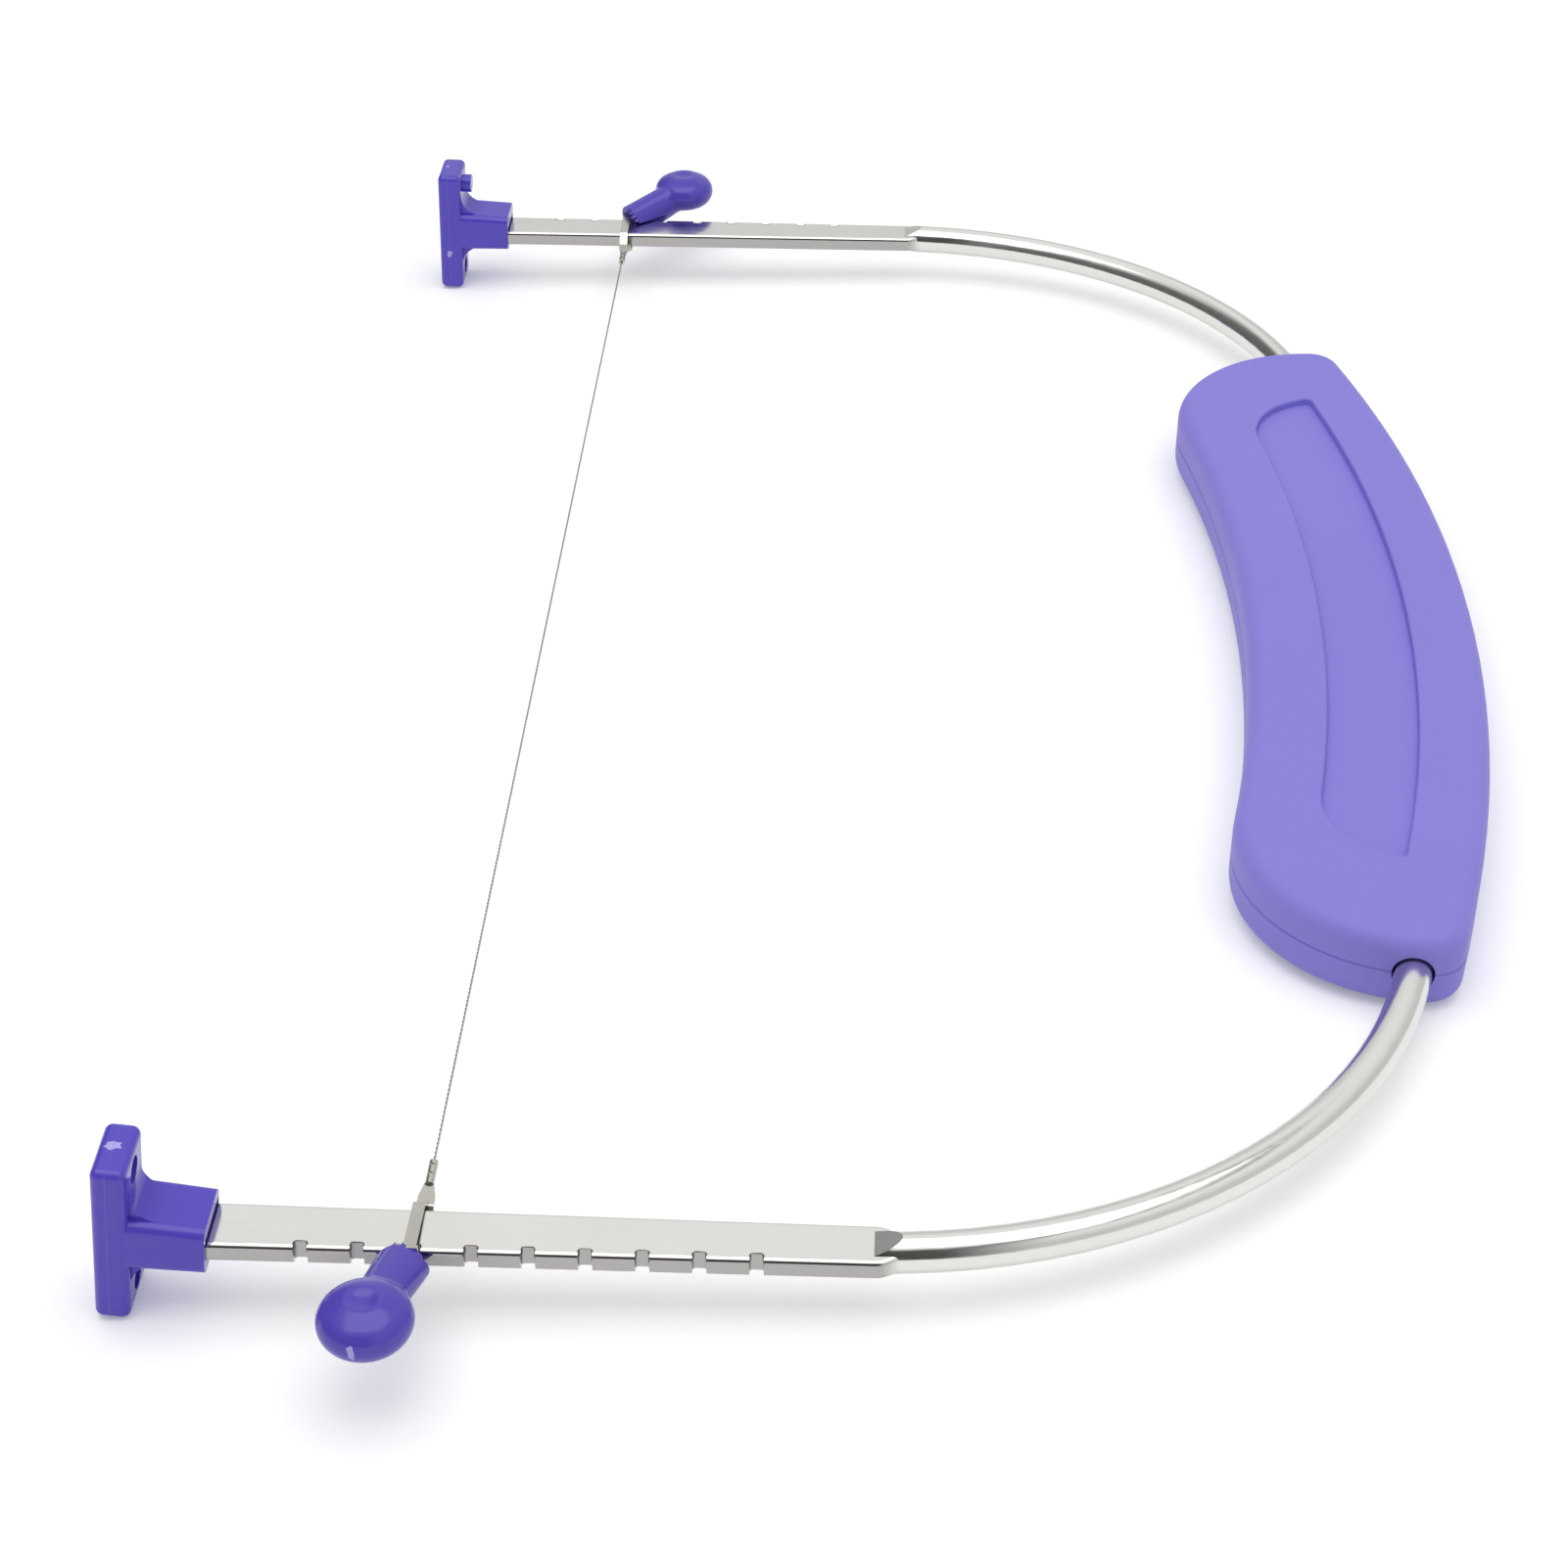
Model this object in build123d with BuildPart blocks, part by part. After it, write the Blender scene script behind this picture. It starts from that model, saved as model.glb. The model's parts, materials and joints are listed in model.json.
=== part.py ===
from build123d import *
from math import asin, atan2, cos, degrees, hypot, pi, radians, sin, sqrt, tan
import os

# Cake leveler: a bent steel bow with two flat notched legs, a two-shell handle,
# a foot on each leg and a wire blade held in the notches by a clip at each end.
# Everything is drawn in the bow's own plane first: X runs along the legs from
# the first notch towards the handle, Y across, Z out of the bow's plane.
# The last step lays every piece down on its feet and the back of the handle.

# Rod and legs
rod_diameter = 4.76
leg_spacing = 268.0
leg_width_foot = 7.3
leg_width_bend = 6.35
leg_thickness = 2.5
leg_corner_radius = 0.6
leg_end_x = -17.0
flat_end_x = 64.7
press_lap = 1.2
press_ramp_length = 2.2
press_inset = 0.1
press_tail_width = 3.8
press_shoulder_radius = 3.0
rod_stub = 1.0
bend_radius = 69.5
bar_x = 132.0

# Notches in the legs' outer edges
notch_count = 9
notch_pitch = 6.35
notch_width = 1.6
notch_depth = 1.2
notch_corner_radius = 0.35

# Feet
flange_front_x = -18.0
flange_thickness = 4.05
flange_width = 9.0
flange_bottom_z = -9.8
flange_height = 22.0
foot_edge_radius = 1.0
foot_outboard_shift = 0.1
near_foot_tip_angle = 5.5
near_foot_shift = -1.15
far_foot_shift = 0.45
stem_root_width = 8.8
stem_root_height = 6.9
stem_mouth_width = 8.4
stem_mouth_height = 6.3
stem_centre_z = 1.2
stem_end_x = -9.5
stem_fillet = 3.2
stem_edge_radius = 1.2
socket_floor_x = -17.6
socket_headroom = 0.6
socket_side_gap = 0.05
pin_hole_diameter = 3.2
pin_hole_depth = 2.0
pin_hole_from_end = 2.9
pin_height = 1.6

# Handle, two shells parted in the rod's plane
handle_outer_x = 147.9
handle_outer_radius = 282.0
handle_inner_x = 114.8
handle_end_x = 132.5
handle_end_y = 58.0
handle_end_radius = 23.4
handle_corner_radius = 5.0
handle_half_thickness = 5.4
handle_edge_radius = 2.4
shell_wall = 2.2
shell_corner_radius = 2.8
parting_chamfer = 0.2
roof_under_recess = 1.3

# Shallow recess in the handle's top face
recess_outer_x = 138.2
recess_outer_radius = 272.0
recess_inner_x = 125.6
recess_end_x = 133.5
recess_end_y = 51.5
recess_end_radius = 12.4
recess_corner_radius = 0.9
recess_depth = 1.2
recess_rim_radius = 0.35

# Inside the handle
rod_hole_gap = 0.3
saddle_gap = 0.02
saddle_thickness = 2.4
saddle_pitch = 29.0
saddle_count = 5
boss_diameter = 6.0
boss_pin_diameter = 3.0
boss_pin_gap = 0.05
boss_pin_height = 2.0
boss_socket_spare = 0.3
boss_pin_edge = 0.3
boss_y = 43.5
boss_from_bar = 8.6

# Wire and clips
wire_notch = 2
wire_diameter = 0.33
wire_bore_gap = 0.07
wire_end_gap = 0.4
ferrule_diameter = 1.1
ferrule_length = 3.4
ferrule_lap = 0.5
ferrule_seam = 0.16
crimp_diameter = 0.5
crimp_depth = 0.13
crimp_pitch = 1.5
crimp_from_mouth = 0.9
leaf_length = 3.8
leaf_width_inboard = 1.0
tine_gap = 0.28
tine_thickness = 0.35
tine_width = 1.4
tine_shift = 0.3
tine_rise = 0.5
tine_bend_radius = 0.6
tine_knee_gap = 0.3
split_length = 1.6
clip_end_width = 1.3
clip_end_thickness = 0.45
clip_end_length = 2.6
clip_mouth_gap = 0.25
clip_travel = 1.2

# Knobs
knob_diameter = 10.7
knob_thickness = 6.7
knob_side_radius = 2.6
near_knob_forward = -3.3
near_knob_out = 12.15
near_knob_z = 2.6
near_mouth_forward = -1.1
near_mouth_out = 0.9
near_mouth_z = 0.0
near_mouth_width = 6.3
near_mouth_height = 4.8
far_knob_forward = 9.7
far_knob_out = 7.6
far_knob_z = 3.8
far_mouth_forward = 0.6
far_mouth_out = -0.4
far_mouth_z = 0.7
far_mouth_width = 5.6
far_mouth_height = 6.8
neck_root_diameter = 5.3
neck_leg_gap = 0.32
neck_blend_radius = 2.4
dimple_diameter = 3.6
dimple_depth = 0.4
dimple_rim_radius = 1.5

# Derived sizes
rod_radius = rod_diameter / 2
leg_y = leg_spacing / 2
leg_half_thickness = leg_thickness / 2
turn_x = bar_x - bend_radius
turn_y = leg_y - bend_radius
press_start_x = flat_end_x - press_lap
press_end_x = flat_end_x + press_ramp_length
rod_start_x = min(press_start_x, turn_x) - rod_stub
clip_x = wire_notch * notch_pitch
foot_y = leg_y + foot_outboard_shift
flange_centre_z = flange_bottom_z + flange_height / 2
stem_root_x = flange_front_x - flange_thickness / 2
pin_low_z = flange_bottom_z + pin_hole_from_end
pin_high_z = flange_bottom_z + flange_height - pin_hole_from_end
upper_cavity_height = handle_half_thickness - recess_depth - roof_under_recess
lower_cavity_height = handle_half_thickness - shell_wall
sides = (-1, 1)

# The bow rests on the inner lower edges of both feet and on the lower edge of
# the handle's back, so it leans a little towards the handle.
foot_round_x = flange_front_x - foot_edge_radius
foot_round_z = flange_bottom_z + foot_edge_radius
handle_round_x = handle_outer_x - handle_edge_radius
handle_round_z = handle_edge_radius - handle_half_thickness
run = handle_round_x - foot_round_x
drop = handle_round_z - foot_round_z
lean = atan2(drop, run) + asin((foot_edge_radius - handle_edge_radius) / hypot(run, drop))


def leg_edge_at(x):
    narrowing = (leg_width_foot - leg_width_bend) / (flat_end_x - leg_end_x)
    return leg_y + (leg_width_foot - narrowing * (x - leg_end_x)) / 2


leg_outer_y = leg_edge_at(clip_x)
leg_inner_y = 2 * leg_y - leg_outer_y
knee_y = leg_inner_y - tine_knee_gap
split_y = knee_y - split_length
leaf_root_y = split_y - leaf_length
clip_end_y = leg_outer_y + clip_mouth_gap
clip_back_y = clip_end_y + clip_end_thickness
tongue_end_y = clip_back_y + clip_end_length
tine_knee_z = leg_half_thickness + tine_gap + tine_thickness / 2
tine_end_z = tine_knee_z + tine_rise
slot_half_height = leg_half_thickness + neck_leg_gap
slot_end_y = leg_outer_y + clip_travel + neck_leg_gap
wire_end_y = leaf_root_y + ferrule_lap - clip_travel - wire_end_gap


# A bowed band: one long outer arc, two round ends and one long inner arc that
# runs tangent into the ends. An inset keeps all the arc centres and moves in.
def bowed_band(level, outer_x, outer_radius, inner_x, end_x, end_y, end_radius, corner, inset):
    outer_centre = outer_x - outer_radius
    reach = end_x - inner_x
    inner_radius = (reach ** 2 + end_y ** 2 - end_radius ** 2) / (2 * (end_radius - reach))
    inner_centre = inner_x - inner_radius
    big = outer_radius - inset
    small = end_radius - inset
    hollow = inner_radius + inset
    away = hypot(end_x - outer_centre, end_y)
    along = (big ** 2 - small ** 2 + away ** 2) / (2 * away)
    aside = sqrt(big ** 2 - along ** 2)
    slant = atan2(end_y, end_x - outer_centre)
    corner_x = outer_centre + along * cos(slant) - aside * sin(slant)
    corner_y = along * sin(slant) + aside * cos(slant)
    tilt = atan2(end_y, end_x - inner_centre)
    touch_x = inner_centre + hollow * cos(tilt)
    touch_y = hollow * sin(tilt)
    start = atan2(corner_y - end_y, corner_x - end_x)
    middle = (start + tilt + pi) / 2
    mid_x = end_x + small * cos(middle)
    mid_y = end_y + small * sin(middle)
    with BuildSketch(Plane.XY.offset(level)) as band:
        with BuildLine():
            ThreePointArc((corner_x, -corner_y), (outer_centre + big, 0), (corner_x, corner_y))
            ThreePointArc((corner_x, corner_y), (mid_x, mid_y), (touch_x, touch_y))
            ThreePointArc((touch_x, touch_y), (inner_centre + hollow, 0), (touch_x, -touch_y))
            ThreePointArc((touch_x, -touch_y), (mid_x, -mid_y), (corner_x, -corner_y))
        make_face()
        fillet(band.vertices().group_by(SortBy.DISTANCE)[-1], corner)
    return band.sketch


def handle_band(level, corner, inset):
    return bowed_band(
        level, handle_outer_x, handle_outer_radius, handle_inner_x,
        handle_end_x, handle_end_y, handle_end_radius, corner, inset,
    )


def recess_band(level):
    return bowed_band(
        level, recess_outer_x, recess_outer_radius, recess_inner_x,
        recess_end_x, recess_end_y, recess_end_radius, recess_corner_radius, 0,
    )


# The round rod's path, from one leg round the handle end to the other leg
def rod_path():
    mid_x = turn_x + bend_radius * sin(pi / 4)
    mid_y = turn_y + bend_radius * cos(pi / 4)
    with BuildLine() as path:
        Line((rod_start_x, leg_y), (turn_x, leg_y))
        ThreePointArc((turn_x, leg_y), (mid_x, mid_y), (bar_x, turn_y))
        Line((bar_x, turn_y), (bar_x, -turn_y))
        ThreePointArc((bar_x, -turn_y), (mid_x, -mid_y), (turn_x, -leg_y))
        Line((turn_x, -leg_y), (rod_start_x, -leg_y))
    return path.wire()


def rod_along_path(radius):
    path = rod_path()
    with BuildPart() as swept:
        with BuildSketch(Plane(origin=path @ 0, z_dir=path % 0)):
            Circle(radius)
        sweep(path=path)
    return swept.part


# One flat leg, with a narrow tail inside the rod's end and a row of notches
def leg_form(side):
    with BuildPart() as leg:
        with BuildSketch(Plane.XY.offset(-leg_half_thickness)) as plan:
            with BuildLine():
                Polyline(
                    (leg_end_x, side * (leg_y - leg_width_foot / 2)),
                    (leg_end_x, side * (leg_y + leg_width_foot / 2)),
                    (flat_end_x, side * (leg_y + leg_width_bend / 2)),
                    (press_end_x, side * (leg_y + press_tail_width / 2)),
                    (press_end_x, side * (leg_y - press_tail_width / 2)),
                    (flat_end_x, side * (leg_y - leg_width_bend / 2)),
                    close=True,
                )
            make_face()
            fillet(plan.vertices().group_by(Axis.X)[1], press_shoulder_radius)
        extrude(amount=leg_thickness)
        long_edges = leg.faces().filter_by(Axis.Z).edges().filter_by(Axis.Y, reverse=True)
        fillet(long_edges, leg_corner_radius)
        for notch in range(notch_count):
            notch_x = notch * notch_pitch
            with BuildSketch(Plane.XY.offset(-leg_thickness)):
                with Locations((notch_x, side * leg_edge_at(notch_x))):
                    RectangleRounded(notch_width, 2 * notch_depth, notch_corner_radius)
            extrude(amount=2 * leg_thickness, mode=Mode.SUBTRACT)
    return leg.part


def stem_half_height_at(x):
    growth = (stem_root_height - stem_mouth_height) / (stem_end_x - stem_root_x)
    return (stem_mouth_height + growth * (stem_end_x - x)) / 2


# One foot: an upright flange and a stem with a socket for the leg's end. The
# foot is tipped about its sole's inner edge and shifted along the floor.
# The socket follows the leg, which lies on its floor with a slit above.
def foot_form(side, tip, shift, has_pin):
    with BuildPart() as upright:
        with BuildSketch(Plane.YZ.offset(flange_front_x)):
            with Locations((side * foot_y, flange_centre_z)):
                RectangleRounded(flange_width, flange_height, foot_edge_radius)
        extrude(amount=-flange_thickness)
        fillet(upright.faces().filter_by(Axis.X).edges(), foot_edge_radius)
        with BuildSketch(Plane.YZ.offset(stem_root_x)):
            with Locations((side * foot_y, stem_centre_z)):
                RectangleRounded(stem_root_width, stem_root_height, stem_edge_radius)
        with BuildSketch(Plane.YZ.offset(stem_end_x)):
            with Locations((side * foot_y, stem_centre_z)):
                RectangleRounded(stem_mouth_width, stem_mouth_height, stem_edge_radius)
        loft()
        front_half = stem_half_height_at(flange_front_x)
        reach_x = flange_front_x + 2 * stem_fillet
        reach_half = stem_half_height_at(reach_x)
        flange_half = flange_height / 2 - foot_edge_radius
        with BuildSketch(Plane.XZ.offset(-side * foot_y)) as gusset:
            with BuildLine():
                Polyline(
                    (stem_root_x, flange_centre_z + flange_half),
                    (flange_front_x, flange_centre_z + flange_half),
                    (flange_front_x, stem_centre_z + front_half),
                    (reach_x, stem_centre_z + reach_half),
                    (reach_x, stem_centre_z - reach_half),
                    (flange_front_x, stem_centre_z - front_half),
                    (flange_front_x, flange_centre_z - flange_half),
                    (stem_root_x, flange_centre_z - flange_half),
                    close=True,
                )
            make_face()
            stem_corner = (flange_front_x, stem_centre_z, 0)
            fillet(gusset.vertices().sort_by_distance(stem_corner)[:2], stem_fillet)
        extrude(amount=stem_mouth_width / 2 - stem_edge_radius, both=True)
        with BuildSketch(Plane.YZ.offset(flange_front_x + pin_height)):
            with Locations((side * foot_y, pin_low_z), (side * foot_y, pin_high_z)):
                Circle(pin_hole_diameter / 2)
        extrude(amount=-pin_height - pin_hole_depth, mode=Mode.SUBTRACT)
        if has_pin:
            with BuildSketch(Plane.YZ.offset(flange_front_x - pin_hole_depth)):
                with Locations((side * foot_y, pin_high_z)):
                    Circle(pin_hole_diameter / 2)
            extrude(amount=pin_hole_depth + pin_height)
    slide = shift + foot_round_z * sin(radians(tip))
    tipped = upright.part.rotate(Axis((foot_round_x, 0, foot_round_z), (0, 1, 0)), tip)
    with BuildPart() as foot:
        add(tipped.moved(Location((slide * cos(lean), 0, slide * sin(lean)))))
        with BuildSketch(Plane.YZ.offset(socket_floor_x)):
            with Locations((side * leg_y, socket_headroom / 2)):
                Rectangle(leg_width_foot + 2 * socket_side_gap, leg_thickness + socket_headroom)
        extrude(amount=stem_end_x - socket_floor_x + flange_thickness, mode=Mode.SUBTRACT)
    return foot.part


# One of a clip's two tines: it leaves the leaf at the split, bends to its level
# beside the leg, crosses the leg and turns back to the clip's narrow end.
def tine_form(side, up):
    bend = atan2(tine_knee_z, knee_y - split_y)
    half = tine_thickness / 2
    shift = half * tan(bend / 2)
    across = clip_x - up * tine_shift
    with BuildPart() as tine:
        with BuildSketch(Plane.YZ.offset(clip_x)) as profile:
            with BuildLine():
                Polyline(
                    (side * (split_y - tine_thickness), up * half),
                    (side * (split_y - shift), up * half),
                    (side * (knee_y - shift), up * (tine_knee_z + half)),
                    (side * clip_back_y, up * (tine_end_z + half)),
                    (side * clip_back_y, 0),
                    (side * clip_end_y, 0),
                    (side * clip_end_y, up * (tine_end_z - half)),
                    (side * (knee_y + shift), up * (tine_knee_z - half)),
                    (side * (split_y + shift), -up * half),
                    (side * (split_y - tine_thickness), -up * half),
                    close=True,
                )
            make_face()
            bends = [
                corner for corner in profile.vertices()
                if abs(side * corner.X - knee_y) < half or abs(side * corner.X - split_y) < half
            ]
            fillet(bends, tine_bend_radius)
        extrude(amount=tine_width, both=True)
        with BuildSketch():
            with BuildLine():
                Polyline(
                    (across - tine_width / 2, side * (split_y - tine_thickness)),
                    (across - tine_width / 2, side * leg_outer_y),
                    (clip_x - clip_end_width / 2, side * clip_end_y),
                    (clip_x - clip_end_width / 2, side * clip_back_y),
                    (clip_x + clip_end_width / 2, side * clip_back_y),
                    (clip_x + clip_end_width / 2, side * clip_end_y),
                    (across + tine_width / 2, side * leg_outer_y),
                    (across + tine_width / 2, side * (split_y - tine_thickness)),
                    close=True,
                )
            make_face()
        extrude(amount=tine_end_z + tine_thickness, both=True, mode=Mode.INTERSECT)
    return tine.part


# One clip: sheet metal rolled to a ferrule, widening to a flat leaf that splits
# into a tine over and a tine under the leg, joined again in a narrow end.
def clip_form(side):
    leaf_half = tine_shift + tine_width / 2
    mouth_y = leaf_root_y - ferrule_length
    with BuildPart() as clip:
        for up in sides:
            add(tine_form(side, up))
        with BuildSketch(Plane.XY.offset(-tine_thickness / 2)):
            with BuildLine():
                Polyline(
                    (clip_x - leaf_width_inboard / 2, side * leaf_root_y),
                    (clip_x - leaf_half, side * (split_y - leaf_length / 3)),
                    (clip_x - leaf_half, side * split_y),
                    (clip_x + leaf_half, side * split_y),
                    (clip_x + leaf_half, side * (split_y - leaf_length / 3)),
                    (clip_x + leaf_width_inboard / 2, side * leaf_root_y),
                    close=True,
                )
            make_face()
        extrude(amount=tine_thickness)
        with BuildSketch(Plane.XY.offset(-clip_end_thickness / 2)):
            with Locations((clip_x, side * (clip_end_y + tongue_end_y) / 2)):
                Rectangle(clip_end_width, tongue_end_y - clip_end_y)
        extrude(amount=clip_end_thickness)
        with BuildSketch(Plane(origin=(clip_x, side * mouth_y, 0), z_dir=(0, side, 0))):
            Circle(ferrule_diameter / 2)
        extrude(amount=ferrule_length + ferrule_lap)
        with BuildSketch(Plane(origin=(clip_x, side * mouth_y, 0), z_dir=(0, side, 0))):
            Circle(wire_diameter / 2 + wire_bore_gap)
        extrude(amount=ferrule_length + ferrule_lap, mode=Mode.SUBTRACT)
        with BuildSketch():
            with Locations((clip_x, side * (mouth_y + ferrule_length / 2))):
                Rectangle(ferrule_seam, ferrule_length)
        extrude(amount=-ferrule_diameter, mode=Mode.SUBTRACT)
        first_y = mouth_y + crimp_from_mouth
        with BuildSketch(Plane.XY.offset(ferrule_diameter)):
            with Locations((clip_x, side * first_y), (clip_x, side * (first_y + crimp_pitch))):
                Circle(crimp_diameter / 2)
        extrude(amount=-ferrule_diameter / 2 - crimp_depth, mode=Mode.SUBTRACT)
    return clip.part


# A bead's outline round its own axis: a domed top and bottom with a shallow
# dish in each, and a rounder side.
def bead_profile(root):
    knob_radius = knob_diameter / 2
    half = knob_thickness / 2
    side_centre = knob_radius - knob_side_radius
    dome_radius = (side_centre ** 2 + half ** 2 - knob_side_radius ** 2) / (2 * (half - knob_side_radius))
    dome_centre = half - dome_radius
    slant = atan2(-dome_centre, side_centre)
    touch_x = dome_radius * cos(slant)
    touch_z = dome_centre + dome_radius * sin(slant)
    dish_x = dimple_diameter / 2
    dish_angle = atan2(sqrt(dome_radius ** 2 - dish_x ** 2), dish_x)
    dish_z = dome_centre + dome_radius * sin(dish_angle)
    dome_mid = (slant + dish_angle) / 2
    mid_x = dome_radius * cos(dome_mid)
    mid_z = dome_centre + dome_radius * sin(dome_mid)
    dish_radius = (dish_x ** 2 + dimple_depth ** 2) / (2 * dimple_depth)
    dish_mid_x = dish_x / 2
    dish_low_z = dish_z - dimple_depth
    dish_mid_z = dish_low_z + dish_radius - sqrt(dish_radius ** 2 - dish_mid_x ** 2)
    with BuildSketch(Plane(origin=root, x_dir=(1, 0, 0), z_dir=(0, -1, 0))) as bead:
        with BuildLine():
            ThreePointArc((0, dish_low_z), (dish_mid_x, dish_mid_z), (dish_x, dish_z))
            ThreePointArc((dish_x, dish_z), (mid_x, mid_z), (touch_x, touch_z))
            ThreePointArc((touch_x, touch_z), (knob_radius, 0), (touch_x, -touch_z))
            ThreePointArc((touch_x, -touch_z), (mid_x, -mid_z), (dish_x, -dish_z))
            ThreePointArc((dish_x, -dish_z), (dish_mid_x, -dish_mid_z), (0, -dish_low_z))
            Line((0, -dish_low_z), (0, dish_low_z))
        make_face()
        rims = [corner for corner in bead.vertices() if abs(corner.X - dish_x) < dimple_depth]
        fillet(rims, dimple_rim_radius)
    return bead.sketch


# One knob: a dished bead on a neck moulded over the clip's narrow end. A slit
# across the neck lets its two lips pass over and under the leg. The places of
# the bead and the neck's mouth are given from the clip, the leg and its plane.
def knob_form(side, bead, mouth, mouth_width, mouth_height):
    root = (clip_x + bead[0], side * (leg_outer_y + bead[1]), bead[2])
    start = (clip_x + mouth[0], side * (leg_outer_y + mouth[1]), mouth[2])
    axis = (root[0] - start[0], root[1] - start[1], root[2] - start[2])
    level = (axis[1], -axis[0], 0)
    with BuildPart() as knob:
        with BuildSketch(Plane(origin=start, x_dir=level, z_dir=axis)):
            Ellipse(mouth_width / 2, mouth_height / 2)
        with BuildSketch(Plane(origin=root, x_dir=level, z_dir=axis)):
            Circle(neck_root_diameter / 2)
        loft()
        revolve(bead_profile(root), axis=Axis(root, (0, 0, 1)))
        fillet(knob.edges(Select.NEW), neck_blend_radius)
        with BuildSketch(Plane.XY.offset(-slot_half_height)):
            with Locations((clip_x, side * (slot_end_y - knob_diameter / 2))):
                Rectangle(2 * knob_diameter, knob_diameter)
        extrude(amount=2 * slot_half_height, mode=Mode.SUBTRACT)
        add(clip_form(side), mode=Mode.SUBTRACT)
    return knob.part


# Cross ribs with saddles for the rod, and round bosses, for one shell.
# The shell lies above its parting plane for up = 1 and below it for up = -1.
def shell_inside(up, cavity_height):
    with BuildPart() as inside:
        for step in range(saddle_count):
            rib_y = (step - (saddle_count - 1) / 2) * saddle_pitch
            with BuildSketch() as rib:
                add(handle_band(0, shell_corner_radius, shell_wall / 2))
                with Locations((handle_end_x, rib_y)):
                    Rectangle(handle_outer_x, saddle_thickness, mode=Mode.INTERSECT)
            extrude(rib.sketch, amount=up * cavity_height)
        with BuildSketch():
            with Locations(boss_places()):
                Circle(boss_diameter / 2)
        extrude(amount=up * cavity_height)
        with BuildSketch(Plane.XZ.offset(-turn_y)):
            with Locations((bar_x, 0)):
                Circle(rod_radius + saddle_gap)
        extrude(amount=2 * turn_y, mode=Mode.SUBTRACT)
    return inside.part


# Wider holes where the rod comes in through the handle's two end walls
def entry_tunnels():
    with BuildPart() as tunnels:
        add(rod_along_path(rod_radius + rod_hole_gap))
        with BuildSketch(Plane.XY.offset(-rod_diameter)):
            with Locations((bar_x, 0)):
                Rectangle(2 * handle_end_radius, 2 * turn_y)
        extrude(amount=2 * rod_diameter, mode=Mode.SUBTRACT)
    return tunnels.part


def boss_places():
    return [
        (bar_x + across * boss_from_bar, along * boss_y)
        for across in sides
        for along in sides
    ]


# The bow
with BuildPart() as bow_rod:
    add(rod_along_path(rod_radius))
    for side in sides:
        for up in sides:
            low = leg_half_thickness - press_inset
            with BuildSketch(Plane.XZ.offset(-side * leg_y)):
                with BuildLine():
                    Polyline(
                        (rod_start_x - rod_stub, up * low),
                        (press_start_x, up * low),
                        (press_end_x, up * rod_radius),
                        (press_end_x, up * rod_diameter),
                        (rod_start_x - rod_stub, up * rod_diameter),
                        close=True,
                    )
                make_face()
            extrude(amount=rod_diameter, both=True, mode=Mode.SUBTRACT)
    for side in sides:
        add(leg_form(side))

# The handle's upper shell, with the bare recess in its top face
with BuildPart() as handle_upper_shell:
    extrude(handle_band(0, handle_corner_radius, 0), amount=handle_half_thickness)
    fillet(handle_upper_shell.faces().sort_by(Axis.Z)[-1].edges(), handle_edge_radius)
    chamfer(handle_upper_shell.faces().sort_by(Axis.Z)[0].edges(), parting_chamfer)
    extrude(recess_band(handle_half_thickness), amount=-recess_depth, mode=Mode.SUBTRACT)
    recess_rim = handle_upper_shell.faces().sort_by(Axis.Z)[-1].inner_wires()[0].edges()
    fillet(recess_rim, recess_rim_radius)
    extrude(
        handle_band(0, shell_corner_radius, shell_wall),
        amount=upper_cavity_height, mode=Mode.SUBTRACT,
    )
    add(shell_inside(1, upper_cavity_height))
    add(rod_along_path(rod_radius + saddle_gap), mode=Mode.SUBTRACT)
    add(entry_tunnels(), mode=Mode.SUBTRACT)
    with BuildSketch():
        with Locations(boss_places()):
            Circle(boss_pin_diameter / 2 + boss_pin_gap)
    extrude(amount=boss_pin_height + boss_socket_spare, mode=Mode.SUBTRACT)

# The handle's lower shell, with the pins
with BuildPart() as handle_lower_shell:
    extrude(handle_band(0, handle_corner_radius, 0), amount=-handle_half_thickness)
    fillet(handle_lower_shell.faces().sort_by(Axis.Z)[0].edges(), handle_edge_radius)
    chamfer(handle_lower_shell.faces().sort_by(Axis.Z)[-1].edges(), parting_chamfer)
    extrude(
        handle_band(0, shell_corner_radius, shell_wall),
        amount=-lower_cavity_height, mode=Mode.SUBTRACT,
    )
    add(shell_inside(-1, lower_cavity_height))
    add(rod_along_path(rod_radius + saddle_gap), mode=Mode.SUBTRACT)
    add(entry_tunnels(), mode=Mode.SUBTRACT)
    with BuildSketch(Plane.XY.offset(-boss_pin_height / 2)):
        with Locations(boss_places()):
            Circle(boss_pin_diameter / 2)
    extrude(amount=boss_pin_height * 3 / 2)
    chamfer(handle_lower_shell.faces().sort_by(Axis.Z)[-4:].edges(), boss_pin_edge)

# The feet. The near one stands a little tipped, further out on its leg, and has
# two pin holes. The far one stands flat on the floor and has a pin above a hole.
with BuildPart() as near_foot:
    add(foot_form(-1, near_foot_tip_angle, near_foot_shift, False))

with BuildPart() as far_foot:
    add(foot_form(1, degrees(lean), far_foot_shift, True))

# The wire, and the clip and knob on each of its ends
with BuildPart() as cutting_wire:
    with BuildSketch(Plane.XZ.offset(-wire_end_y)):
        with Locations((clip_x, 0)):
            Circle(wire_diameter / 2)
    extrude(amount=2 * wire_end_y)

with BuildPart() as near_clip:
    add(clip_form(-1))

with BuildPart() as far_clip:
    add(clip_form(1))

with BuildPart() as near_knob:
    add(knob_form(
        -1, (near_knob_forward, near_knob_out, near_knob_z),
        (near_mouth_forward, near_mouth_out, near_mouth_z),
        near_mouth_width, near_mouth_height,
    ))

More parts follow.
